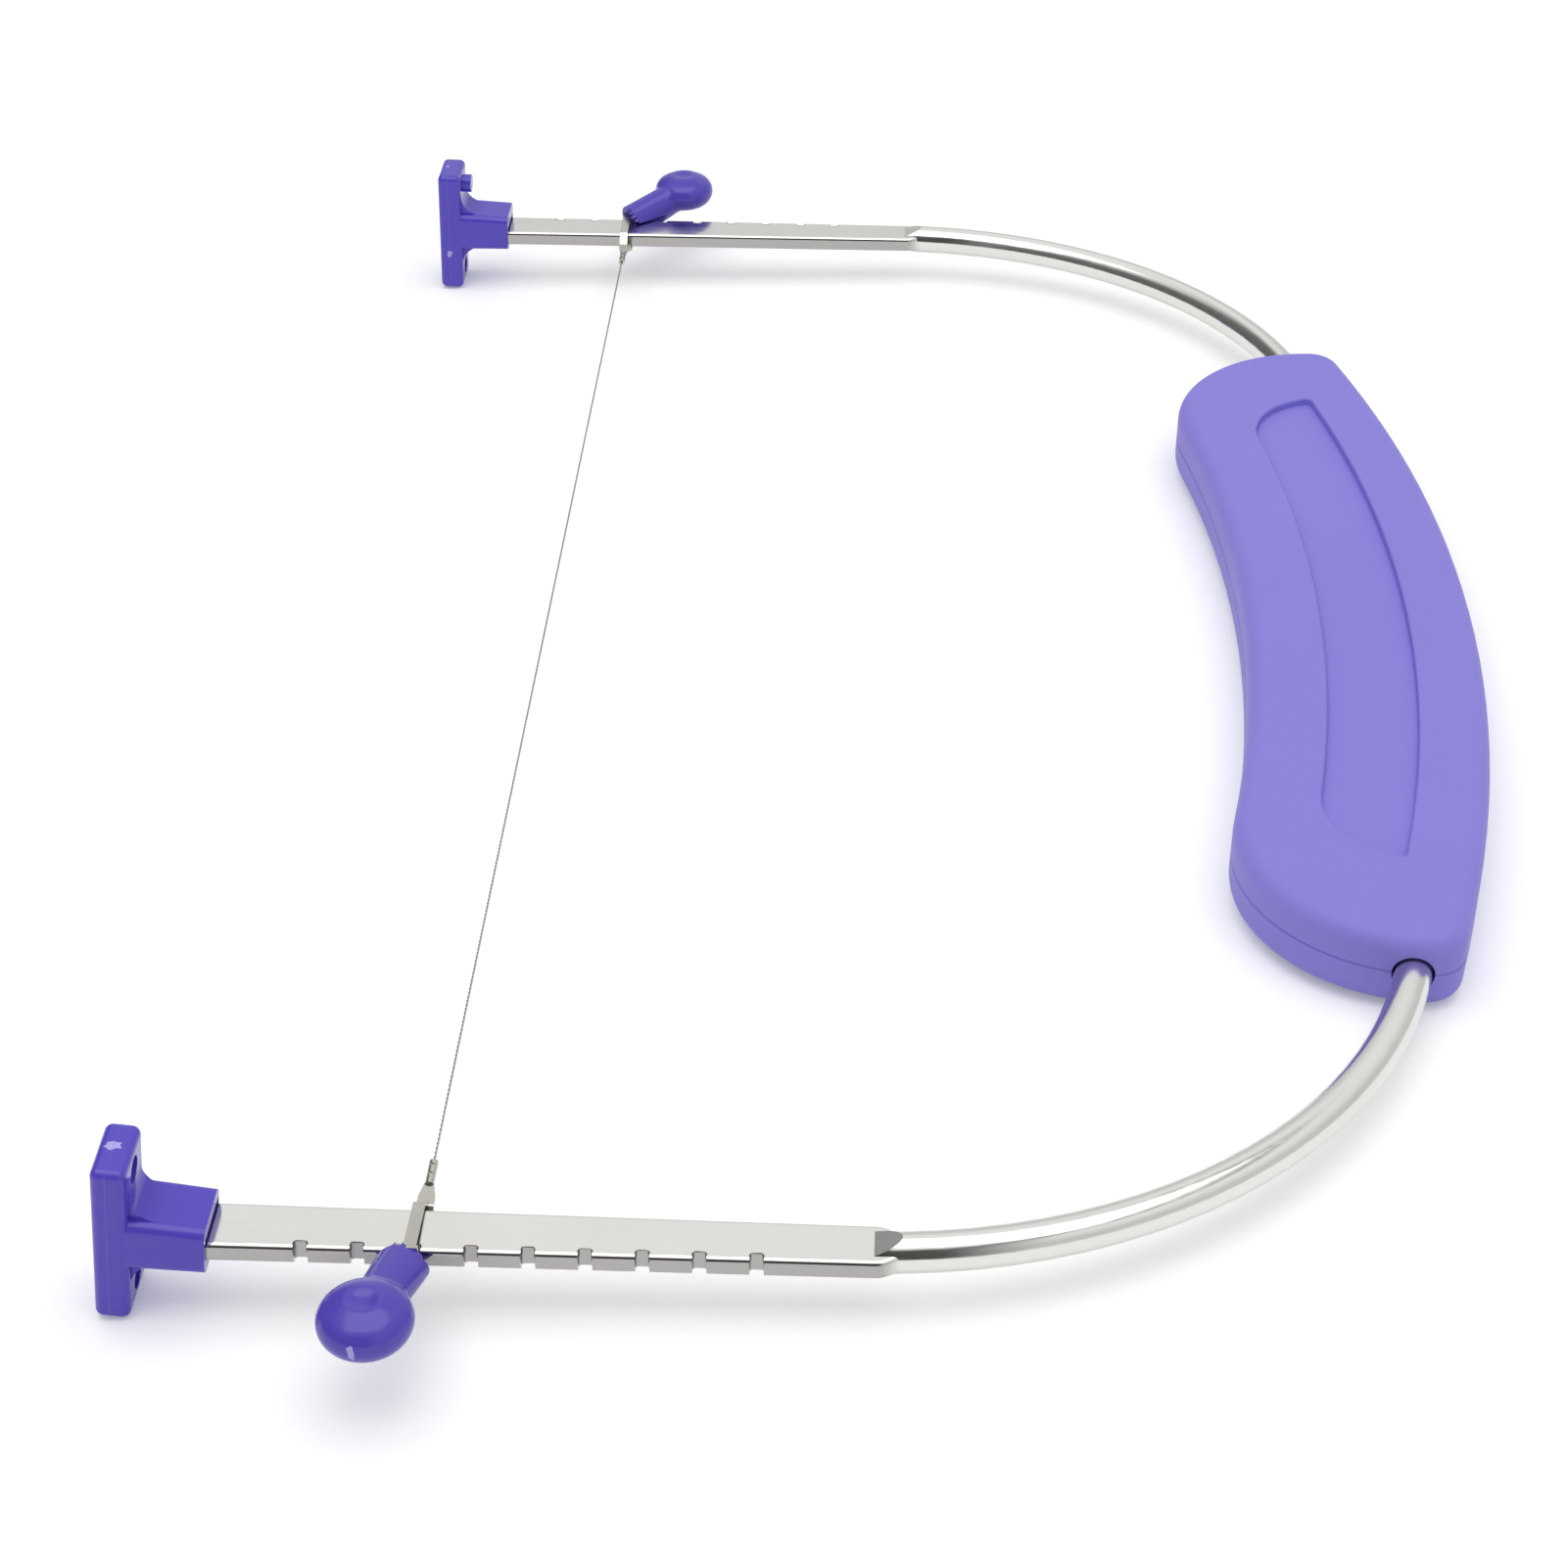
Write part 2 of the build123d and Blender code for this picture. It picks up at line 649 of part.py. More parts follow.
with BuildPart() as far_knob:
    add(knob_form(
        1, (far_knob_forward, far_knob_out, far_knob_z),
        (far_mouth_forward, far_mouth_out, far_mouth_z),
        far_mouth_width, far_mouth_height,
    ))

# Lay the bow down, with the origin under the middle of the whole part
lie_down = Location((0, 0, 0), (0, degrees(lean), 0))
pieces = (
    bow_rod, handle_upper_shell, handle_lower_shell, near_foot, far_foot,
    cutting_wire, near_clip, far_clip, near_knob, far_knob,
)
for piece in pieces:
    piece.part.move(lie_down)
boxes = [piece.part.bounding_box() for piece in pieces]
centre_x = (min(box.min.X for box in boxes) + max(box.max.X for box in boxes)) / 2
centre_y = (min(box.min.Y for box in boxes) + max(box.max.Y for box in boxes)) / 2
lowest_z = min(box.min.Z for box in boxes)
for piece in pieces:
    piece.part.move(Location((-centre_x, -centre_y, -lowest_z)))

os.makedirs("parts", exist_ok=True)
bow_rod.part.label = "bow_rod"
export_step(bow_rod.part, "parts/bow_rod.step")
handle_upper_shell.part.label = "handle_upper_shell"
export_step(handle_upper_shell.part, "parts/handle_upper_shell.step")
handle_lower_shell.part.label = "handle_lower_shell"
export_step(handle_lower_shell.part, "parts/handle_lower_shell.step")
near_foot.part.label = "near_foot"
export_step(near_foot.part, "parts/near_foot.step")
far_foot.part.label = "far_foot"
export_step(far_foot.part, "parts/far_foot.step")
cutting_wire.part.label = "cutting_wire"
export_step(cutting_wire.part, "parts/cutting_wire.step")
near_clip.part.label = "near_clip"
export_step(near_clip.part, "parts/near_clip.step")
far_clip.part.label = "far_clip"
export_step(far_clip.part, "parts/far_clip.step")
near_knob.part.label = "near_knob"
export_step(near_knob.part, "parts/near_knob.step")
far_knob.part.label = "far_knob"
export_step(far_knob.part, "parts/far_knob.step")
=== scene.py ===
import json
import math
import random

import bpy
from mathutils import Matrix, Vector


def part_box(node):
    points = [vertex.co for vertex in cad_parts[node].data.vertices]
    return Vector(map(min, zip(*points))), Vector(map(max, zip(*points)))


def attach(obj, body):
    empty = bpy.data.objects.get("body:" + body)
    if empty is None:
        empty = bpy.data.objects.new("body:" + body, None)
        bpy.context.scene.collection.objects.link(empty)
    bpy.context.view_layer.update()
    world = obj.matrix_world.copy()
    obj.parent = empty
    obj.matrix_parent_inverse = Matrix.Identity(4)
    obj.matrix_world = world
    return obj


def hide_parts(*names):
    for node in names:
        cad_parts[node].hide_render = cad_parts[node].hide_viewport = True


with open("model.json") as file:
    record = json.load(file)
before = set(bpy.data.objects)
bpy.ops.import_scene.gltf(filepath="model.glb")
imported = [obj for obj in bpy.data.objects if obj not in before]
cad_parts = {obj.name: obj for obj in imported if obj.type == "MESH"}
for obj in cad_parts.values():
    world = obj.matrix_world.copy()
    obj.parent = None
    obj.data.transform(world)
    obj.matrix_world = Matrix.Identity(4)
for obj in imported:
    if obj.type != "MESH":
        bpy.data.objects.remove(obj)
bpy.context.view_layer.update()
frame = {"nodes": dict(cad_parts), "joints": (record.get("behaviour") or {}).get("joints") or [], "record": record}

# The bow's own plane, in millimetres: X along the legs from the first notch,
# Y across, Z out of the plane. It leans by the angle of the height slide.
MM = 0.001
IMAGE_SIZE = 1601
SENSOR = 36.0
CLIP_X = 12.7

# The photograph's camera, in the bow's own plane
FOCAL_PIXELS = 3091.5
CAMERA_PLACE = (64.74, -381.58, 234.98)
CAMERA_PITCH = 0.60627
CAMERA_YAW = 0.04471
CAMERA_ROLL = 0.00072

slide_axis = next(j["axis"] for j in frame["joints"] if j["name"] == "height_slide")
lean = Matrix.Rotation(math.atan2(-slide_axis[2], slide_axis[0]), 3, "Y")
wire_low, wire_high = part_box("cutting_wire")
bow_origin = (wire_low + wire_high) / 2 - lean @ Vector((CLIP_X, 0, 0)) * MM


def in_bow(x, y, z):
    return bow_origin + lean @ Vector((x, y, z)) * MM


def make_camera():
    ahead = Vector((
        -math.sin(CAMERA_YAW) * math.cos(CAMERA_PITCH),
        math.cos(CAMERA_YAW) * math.cos(CAMERA_PITCH),
        -math.sin(CAMERA_PITCH),
    ))
    level = Vector((math.cos(CAMERA_YAW), math.sin(CAMERA_YAW), 0))
    above = level.cross(ahead)
    right = level * math.cos(CAMERA_ROLL) + above * math.sin(CAMERA_ROLL)
    up = above * math.cos(CAMERA_ROLL) - level * math.sin(CAMERA_ROLL)
    turn = Matrix((right, up, -ahead)).transposed()
    data = bpy.data.cameras.new("photo_camera")
    data.sensor_width = SENSOR
    data.lens = FOCAL_PIXELS / IMAGE_SIZE * SENSOR
    data.clip_start = 0.01
    camera = bpy.data.objects.new("photo_camera", data)
    camera.matrix_world = Matrix.Translation(in_bow(*CAMERA_PLACE)) @ (lean @ turn).to_4x4()
    bpy.context.collection.objects.link(camera)
    bpy.context.scene.camera = camera


# Materials

PATCH_SCALE = 60.0
GRAIN_SCALE = 900.0
CLOUD_SCALE = 45.0
PIMPLE_SCALE = 1500.0
MIX_RANGE = (0.2, 0.8)
ROUGHNESS_LESS = 0.03
ROUGHNESS_MORE = 0.05
GRAIN_HEIGHT = 0.00002
GRAIN_STRENGTH = 0.25
PIMPLE_STRENGTH = 0.4
ALONG_X = (0.12, 1, 1)
ALONG_Y = (1, 0.2, 1)

# Colour, second colour, roughness, streaks
BOW_STEEL = ((0.75, 0.745, 0.72), (0.71, 0.705, 0.68), 0.14, ALONG_X)
CLIP_STEEL = ((0.6, 0.59, 0.54), (0.46, 0.45, 0.4), 0.26, ALONG_Y)
WIRE_STEEL = ((0.42, 0.42, 0.41), (0.34, 0.34, 0.33), 0.34, ALONG_Y)
# Painted shade: near-black steel for the thin tubes along the notches' rims
NOTCH_RIM_SHADE_STEEL = ((0.2, 0.19, 0.18), (0.12, 0.11, 0.1), 0.5, (1, 1, 1))

# Colour, second colour, roughness, specular level, grain height
HANDLE_VIOLET = ((0.26, 0.225, 0.7), (0.245, 0.21, 0.68), 0.5, 0.22, 0.00002)
FOOT_VIOLET = ((0.09, 0.06, 0.52), (0.08, 0.052, 0.49), 0.17, 0.42, 0.000005)
KNOB_VIOLET = ((0.085, 0.058, 0.46), (0.075, 0.05, 0.43), 0.2, 0.42, 0.00001)
TORN_VIOLET = ((0.5, 0.45, 0.85), (0.3, 0.25, 0.72), 0.5, 0.4, 0.00003)
FLASH_VIOLET = ((0.13, 0.1, 0.56), (0.11, 0.08, 0.52), 0.3, 0.42, 0.00001)
SEAM_VIOLET = ((0.13, 0.1, 0.56), (0.1, 0.07, 0.52), 0.25, 0.42, 0.00001)

# Painted shade on the legs' sides and notches: where the surface stands steep, the steel takes a darker colour
# than on their tops, standing in for their darker reflection
FLAT_END_X = 64.7
FLANK_SHADE_COLOUR = (0.41, 0.4, 0.39)
FLANK_SHADE_SLOPES = (0.55, 0.75)
FLANK_SHADE_FADE = 0.002


def new_material(name, colour, roughness, metallic=0.0, specular=0.5):
    material = bpy.data.materials.new(name)
    material.use_nodes = True
    shader = material.node_tree.nodes["Principled BSDF"]
    shader.inputs["Base Color"].default_value = (*colour, 1)
    shader.inputs["Roughness"].default_value = roughness
    shader.inputs["Metallic"].default_value = metallic
    shader.inputs["Specular IOR Level"].default_value = specular
    return material, material.node_tree, shader


def add_node(tree, kind, **values):
    node = tree.nodes.new(kind)
    for name, value in values.items():
        if name in node.inputs:
            node.inputs[name].default_value = value
        else:
            setattr(node, name, value)
    return node


def object_noise(tree, scale, stretch=(1, 1, 1), detail=3.0):
    place = add_node(tree, "ShaderNodeTexCoord")
    mapping = add_node(tree, "ShaderNodeMapping")
    mapping.inputs["Scale"].default_value = stretch
    noise = add_node(tree, "ShaderNodeTexNoise", Scale=scale, Detail=detail)
    tree.links.new(place.outputs["Object"], mapping.inputs["Vector"])
    tree.links.new(mapping.outputs["Vector"], noise.inputs["Vector"])
    return noise


def ramp_between(tree, source, low, high, start=0.35, end=0.65):
    ramp = add_node(tree, "ShaderNodeMapRange")
    ramp.inputs["From Min"].default_value = start
    ramp.inputs["From Max"].default_value = end
    ramp.inputs["To Min"].default_value = low
    ramp.inputs["To Max"].default_value = high
    tree.links.new(source, ramp.inputs["Value"])
    return ramp.outputs["Result"]


def product(tree, first, second):
    times = add_node(tree, "ShaderNodeMath", operation="MULTIPLY")
    tree.links.new(first, times.inputs[0])
    tree.links.new(second, times.inputs[1])
    return times.outputs["Value"]


def mix_colours(tree, share, first, second):
    mix = add_node(tree, "ShaderNodeMix", data_type="RGBA")
    mix.inputs["A"].default_value = (*first, 1)
    mix.inputs["B"].default_value = (*second, 1)
    tree.links.new(share, mix.inputs["Factor"])
    return mix.outputs["Result"]


def bump_from(tree, shader, height, distance, strength):
    bump = add_node(tree, "ShaderNodeBump", Distance=distance, Strength=strength)
    tree.links.new(height, bump.inputs["Height"])
    tree.links.new(bump.outputs["Normal"], shader.inputs["Normal"])


def steel(name, colour, dull, roughness, streaks):
    material, tree, shader = new_material(name, colour, roughness, metallic=1.0)
    patches = object_noise(tree, PATCH_SCALE, detail=3.0)
    grain = object_noise(tree, GRAIN_SCALE, streaks, detail=2.0)
    share = ramp_between(tree, patches.outputs["Fac"], 0.0, 1.0, *MIX_RANGE)
    tree.links.new(mix_colours(tree, share, colour, dull), shader.inputs["Base Color"])
    smoothest, roughest = roughness - ROUGHNESS_LESS, roughness + ROUGHNESS_MORE
    rough = ramp_between(tree, grain.outputs["Fac"], smoothest, roughest)
    tree.links.new(rough, shader.inputs["Roughness"])
    bump_from(tree, shader, grain.outputs["Fac"], GRAIN_HEIGHT, GRAIN_STRENGTH)
    return material


# Painted shade: mixes a darker steel colour into the legs' steep faces, short of the rod's round part
def paint_flank_shade(material):
    tree = material.node_tree
    shader = tree.nodes["Principled BSDF"]
    place = add_node(tree, "ShaderNodeTexCoord")
    where = add_node(tree, "ShaderNodeSeparateXYZ")
    tree.links.new(place.outputs["Object"], where.inputs["Vector"])
    facing = add_node(tree, "ShaderNodeSeparateXYZ")
    surface = add_node(tree, "ShaderNodeNewGeometry")
    tree.links.new(surface.outputs["Normal"], facing.inputs["Vector"])
    steep = add_node(tree, "ShaderNodeMath", operation="ABSOLUTE")
    tree.links.new(facing.outputs["Z"], steep.inputs[0])
    end = in_bow(FLAT_END_X, 0, 0).x
    flank_shade = product(
        tree,
        ramp_between(tree, steep.outputs["Value"], 1.0, 0.0, *FLANK_SHADE_SLOPES),
        ramp_between(tree, where.outputs["X"], 1.0, 0.0, end, end + FLANK_SHADE_FADE),
    )
    mix = add_node(tree, "ShaderNodeMix", data_type="RGBA")
    tree.links.new(flank_shade, mix.inputs["Factor"])
    plain = shader.inputs["Base Color"].links[0].from_socket
    tree.links.new(plain, mix.inputs["A"])
    mix.inputs["B"].default_value = (*FLANK_SHADE_COLOUR, 1)
    tree.links.new(mix.outputs["Result"], shader.inputs["Base Color"])


def plastic(name, colour, deep, roughness, specular, grain_height):
    material, tree, shader = new_material(name, colour, roughness, specular=specular)
    clouds = object_noise(tree, CLOUD_SCALE, detail=2.0)
    grain = object_noise(tree, PIMPLE_SCALE, detail=2.0)
    share = ramp_between(tree, clouds.outputs["Fac"], 0.0, 1.0, *MIX_RANGE)
    tree.links.new(mix_colours(tree, share, colour, deep), shader.inputs["Base Color"])
    bump_from(tree, shader, grain.outputs["Fac"], grain_height, PIMPLE_STRENGTH)
    return material


def give(node_names, material):
    for name in node_names:
        piece = frame["nodes"][name]
        piece.data.materials.clear()
        piece.data.materials.append(material)


def dress_frame():
    bow = steel("bow_steel", *BOW_STEEL)
    clip = steel("clip_steel", *CLIP_STEEL)
    handle = plastic("handle_violet", *HANDLE_VIOLET)
    foot = plastic("foot_violet", *FOOT_VIOLET)
    knob = plastic("knob_violet", *KNOB_VIOLET)
    # Painted shade on the legs' sides and notch walls
    paint_flank_shade(bow)
    give(["bow_rod"], bow)
    give(["near_clip", "far_clip"], clip)
    give(["handle_upper_shell", "handle_lower_shell"], handle)
    give(["near_foot", "far_foot"], foot)
    give(["near_knob", "far_knob"], knob)


def make_piece(name, points, faces, material, body):
    mesh = bpy.data.meshes.new(name)
    mesh.from_pydata(points, [], faces)
    mesh.validate()
    for face in mesh.polygons:
        face.use_smooth = True
    piece = bpy.data.objects.new(name, mesh)
    bpy.context.collection.objects.link(piece)
    mesh.materials.append(material)
    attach(piece, body)
    return piece


# The wire is two strands twisted round each other

STRAND_SHARE = 0.5
TWIST_PITCH = 1.6 * MM
RINGS_PER_TURN = 14
SIDES = 7


def make_wire():
    radius = (wire_high.x - wire_low.x) / 2
    strand = radius * STRAND_SHARE
    middle = (wire_low + wire_high) / 2
    length = wire_high.y - wire_low.y
    rings = int(length / TWIST_PITCH * RINGS_PER_TURN)
    points = []
    faces = []
    for start in (0.0, math.pi):
        first = len(points)
        for ring in range(rings + 1):
            along = wire_low.y + length * ring / rings
            turn = start + 2 * math.pi * (along - wire_low.y) / TWIST_PITCH
            centre_x = middle.x + (radius - strand) * math.cos(turn)
            centre_z = middle.z + (radius - strand) * math.sin(turn)
            for side in range(SIDES):
                angle = 2 * math.pi * side / SIDES
                points.append((
                    centre_x + strand * math.cos(angle),
                    along,
                    centre_z + strand * math.sin(angle),
                ))
        for ring in range(rings):
            low = first + ring * SIDES
            for side in range(SIDES):
                after = (side + 1) % SIDES
                high = low + SIDES
                faces.append((low + side, low + after, high + after, high + side))
        last = first + rings * SIDES
        faces.append([first + side for side in reversed(range(SIDES))])
        faces.append([last + side for side in range(SIDES)])
    metal = steel("wire_steel", *WIRE_STEEL)
    strands = make_piece("wire_strands", points, faces, metal, "wire")
    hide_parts("cutting_wire")


# Marks of moulding: torn gates, the flash round the necks' mouths and the
# parting line round each foot

# Name, node, body, slot, a place off the surface, the way to look for it from
# there, length and width, and the seed of its ragged edge
SCARS = (
    (
        "near_foot_scar", "near_foot", "bow", "foot_plastic",
        (-20.3, -133.8, 20), (0, 0, -1), (2.7, 1.9), 3,
    ),
    (
        "far_foot_scar", "far_foot", "bow", "foot_plastic",
        (-19.9, 120, -2.8), (0, 1, 0), (1.1, 1.9), 5,
    ),
    (
        "far_foot_top_scar", "far_foot", "bow", "foot_plastic",
        (-20.0, 134.5, 20), (0, 0, -1), (0.8, 1.4), 8,
    ),
    (
        "near_bead_scar", "near_knob", "near_end", "knob_plastic",
        (11.32, -166.02, 14.06), (-0.166, 0.697, -0.698), (1.0, 2.6), 4,
    ),
)
SCAR_POINTS = 16
SCAR_HEIGHT = 0.03
SCAR_SUNK = 0.05
SCAR_JITTER_SHARE = 0.3
SCAR_REACH_SHARES = (0.6, 1.1)
SCAR_RINGS = (
    # share of the outline, height
    (1.0, -SCAR_SUNK),
    (0.8, 0.4 * SCAR_HEIGHT),
    (0.4, 0.9 * SCAR_HEIGHT),
)


def make_scar(name, node, body, slot, place, way, size, seed, material):
    far = in_bow(*place)
    look = (lean @ Vector(way)).normalized()
    hit, spot, normal, _ = frame["nodes"][node].ray_cast(far, look)
    if not hit:
        raise ValueError(f"{name} misses {node}")
    first = (lean @ Vector((1, 0, 0))).cross(normal)
    first = first.cross(normal).normalized()
    second = normal.cross(first)
    draw = random.Random(seed)
    ragged = [draw.uniform(*SCAR_REACH_SHARES) for _ in range(SCAR_POINTS)]
    points = []
    for share, height in SCAR_RINGS:
        for step in range(SCAR_POINTS):
            angle = 2 * math.pi * step / SCAR_POINTS
            along = size[0] / 2 * share * ragged[step] * math.cos(angle)
            across = size[1] / 2 * share * ragged[step] * math.sin(angle)
            jitter = draw.uniform(-SCAR_JITTER_SHARE, SCAR_JITTER_SHARE)
            rough = height + jitter * SCAR_HEIGHT
            away = first * along + second * across + normal * rough
            points.append(spot + away * MM)
    faces = []
    for ring in range(len(SCAR_RINGS) - 1):
        for step in range(SCAR_POINTS):
            after = (step + 1) % SCAR_POINTS
            low, high = ring * SCAR_POINTS, (ring + 1) * SCAR_POINTS
            faces.append((low + step, low + after, high + after, high + step))
    top = (len(SCAR_RINGS) - 1) * SCAR_POINTS
    faces.append([top + step for step in range(SCAR_POINTS)])
    faces.append([step for step in reversed(range(SCAR_POINTS))])
    make_piece(name, points, faces, material, body)


# Teeth of flash: the mouth's middle, the neck's way, the mouth's half width and
# half height, and for each tooth its angle round the mouth, length and width.
# The near neck's teeth keep to the mouth's top, so that they pass above the leg
# when the clip is seated.
FLASH = (
    ("near_flash", "near_end", (11.6, -138.38, 0.0), (-2.2, -11.25, 2.6), (3.15, 2.4), (
        (58, 0.6, 0.8), (68, 0.9, 0.7), (80, 0.5, 0.7), (92, 1.9, 0.8), (104, 0.7, 0.7),
        (114, 1.0, 0.7), (124, 0.5, 0.7),
    )),
    ("far_flash", "far_end", (13.3, 137.08, 0.7), (9.1, 8.0, 3.1), (2.8, 3.4), (
        (62, 0.8, 0.9), (45, 1.1, 0.9), (28, 0.8, 0.9), (80, 0.6, 0.9),
    )),
)
FLASH_THICKNESS = 0.3
FLASH_ROOT = 0.5
FLASH_TIP_WIDTH_SHARE = 1 / 6
FLASH_TIP_DEPTH_SHARE = 1 / 3
TOOTH_FACES = (
    (0, 1, 2, 3), (7, 6, 5, 4), (0, 4, 5, 1), (1, 5, 6, 2), (2, 6, 7, 3), (3, 7, 4, 0),
)


def make_flash(name, body, middle, way, half, teeth, material):
    way = Vector(way).normalized()
    level = Vector((abs(way.y), -way.x * math.copysign(1, way.y), 0)).normalized()
    above = level.cross(way)
    if above.z <= 0:
        above = way.cross(level)
    points = []
    faces = []
    for angle, length, width in teeth:
        turn = math.radians(angle)
        out = level * math.cos(turn) * half[0] + above * math.sin(turn) * half[1]
        along = above * math.cos(turn) * half[1] - level * math.sin(turn) * half[0]
        along = along.normalized()
        inward = -out.normalized() * FLASH_THICKNESS
        root = Vector(middle) + out + way * FLASH_ROOT
        tip = Vector(middle) + out + inward / 2 - way * length
        first = len(points)
        wide = along * width / 2
        narrow = wide * FLASH_TIP_WIDTH_SHARE
        thin = inward * FLASH_TIP_DEPTH_SHARE
        corners = (
            root - wide, root + wide, root + wide + inward, root - wide + inward,
            tip - narrow, tip + narrow, tip + narrow + thin, tip - narrow + thin,
        )
        points += [in_bow(*corner) for corner in corners]
        for face in TOOTH_FACES:
            faces.append([first + corner for corner in face])
    make_piece(name, points, faces, material, body)


# The parting ridge: how far it stands behind the sole, half its loop's width and
# height, and the ridge itself
SEAM_FROM_SOLE = 1.8
SEAM_HALF = (4.5, 11.0)
SEAM_CORNER = 1.0
SEAM_RADIUS = 0.1
SEAM_SUNK = 0.06
SEAM_SIDES = 6
CORNER_STEPS = 6


def make_foot_seam(name, mount, material):
    sole = next(m for m in frame["record"]["mounts"] if m["name"] == mount)
    outward = Vector(sole["axis"])
    middle = Vector(sole["pos_m"]) - outward * SEAM_FROM_SOLE * MM
    across = Vector((0, 1, 0))
    up = outward.cross(across)
    path = []
    for corner in range(4):
        start = corner * math.pi / 2
        side_x = 1 if corner in (0, 3) else -1
        side_y = 1 if corner in (0, 1) else -1
        centre = Vector((
            side_x * (SEAM_HALF[0] - SEAM_CORNER),
            side_y * (SEAM_HALF[1] - SEAM_CORNER),
        ))
        for step in range(CORNER_STEPS + 1):
            angle = start + math.pi / 2 * step / CORNER_STEPS
            away = Vector((math.cos(angle), math.sin(angle)))
            path.append((centre + away * (SEAM_CORNER - SEAM_SUNK), away))
    points = []
    for place, away in path:
        for side in range(SEAM_SIDES):
            angle = 2 * math.pi * side / SEAM_SIDES
            flat = place + away * SEAM_RADIUS * math.cos(angle)
            deep = outward * SEAM_RADIUS * math.sin(angle)
            points.append(middle + (across * flat.x + up * flat.y + deep) * MM)
    faces = []
    for ring in range(len(path)):
        low, high = ring * SEAM_SIDES, (ring + 1) % len(path) * SEAM_SIDES
        for side in range(SEAM_SIDES):
            after = (side + 1) % SEAM_SIDES
            faces.append((low + side, low + after, high + after, high + side))
    make_piece(name, points, faces, material, "bow")


# Painted shade: thin dark tubes round the notches' upper rims, in the bow's own plane, standing in for the shade
# at the rims. The leg narrows towards the handle, by NARROWING on each side for each millimetre.
NOTCH_COUNT = 9
NOTCH_PITCH = 6.35
NOTCH_HALF = 0.8
NOTCH_DEPTH = 1.2
NOTCH_CORNER = 0.35
NOTCH_CORNER_INSET = 0.1
LEG_Y = 134.0
LEG_TOP = 1.25
EDGE_ROUNDING = 0.6
FIRST_HALF_WIDTH = 3.551
NARROWING = 0.00581
RIM_SHADE_RADIUS = 0.085
RIM_SHADE_SUNK = 0.03
RIM_SHADE_SIDES = 5
RIM_SHADE_RADIUS_SHARES = (0.4, 1.15)
RIM_SHADE_SEED = 11


def notch_rim(notch, side):
    x = notch * NOTCH_PITCH
    edge = LEG_Y + FIRST_HALF_WIDTH - NARROWING * x
    knee = EDGE_ROUNDING * (1 - math.sqrt(0.5))
    wall = (
        (NOTCH_HALF, 0.0, LEG_TOP - EDGE_ROUNDING),
        (NOTCH_HALF, knee, LEG_TOP - knee),
        (NOTCH_HALF, EDGE_ROUNDING, LEG_TOP),
        (NOTCH_HALF, NOTCH_DEPTH - NOTCH_CORNER, LEG_TOP),
        (NOTCH_HALF - NOTCH_CORNER_INSET, NOTCH_DEPTH - NOTCH_CORNER_INSET, LEG_TOP),
        (NOTCH_HALF - NOTCH_CORNER, NOTCH_DEPTH, LEG_TOP),
    )
    rim = [(-across, deep, z) for across, deep, z in wall]
    rim += list(reversed(wall))
    return [
        Vector((x + across, side * (edge - deep), z - RIM_SHADE_SUNK))
        for across, deep, z in rim
    ]


def make_notch_rim_shade():
    # Painted shade: dark tubes laid along each notch's upper rim
    metal = steel("notch_rim_shade_steel", *NOTCH_RIM_SHADE_STEEL)
    draw = random.Random(RIM_SHADE_SEED)
    points = []
    faces = []
    for side in (-1, 1):
        for notch in range(NOTCH_COUNT):
            rim = notch_rim(notch, side)
            first = len(points)
            for step, spot in enumerate(rim):
                ahead = rim[min(step + 1, len(rim) - 1)] - rim[max(step - 1, 0)]
                flat = ahead.cross(Vector((0, 0, 1))).normalized()
                rise = flat.cross(ahead).normalized()
                radius = RIM_SHADE_RADIUS * draw.uniform(*RIM_SHADE_RADIUS_SHARES)
                for corner in range(RIM_SHADE_SIDES):
                    angle = 2 * math.pi * corner / RIM_SHADE_SIDES
                    away = flat * math.cos(angle) + rise * math.sin(angle)
                    points.append(in_bow(*(spot + away * radius)))
            for ring in range(len(rim) - 1):
                low = first + ring * RIM_SHADE_SIDES
                high = low + RIM_SHADE_SIDES
                for corner in range(RIM_SHADE_SIDES):
                    after = (corner + 1) % RIM_SHADE_SIDES
                    faces.append((low + corner, low + after, high + after, high + corner))
            last = first + (len(rim) - 1) * RIM_SHADE_SIDES
            faces.append([first + corner for corner in reversed(range(RIM_SHADE_SIDES))])
            faces.append([last + corner for corner in range(RIM_SHADE_SIDES)])
    make_piece("notch_rim_shade", points, faces, metal, "bow")


def make_marks():
    torn = plastic("torn_violet", *TORN_VIOLET)
    flash = plastic("flash_violet", *FLASH_VIOLET)
    seam = plastic("seam_violet", *SEAM_VIOLET)
    for scar in SCARS:
        make_scar(*scar, torn)
    for flashing in FLASH:
        make_flash(*flashing, flash)
    make_foot_seam("near_foot_seam", "near_foot_sole", seam)
    make_foot_seam("far_foot_seam", "far_foot_sole", seam)


# Floor, world and lamp. The floor and the walls are white to the camera. A gloss
# shows the same floor and walls, with dark openings behind the camera and on the
# left and a grey seam high on the right, guessed from the bands on the rod.

AMBIENT_LIGHT = 0.62
WALL_FOOT_LIGHT = 0.72
WALL_LIGHT = 1.0
ROOM_SHARE = 0.1
LEFT_SHARE = 0.2
GREY_SHARE = 0.5
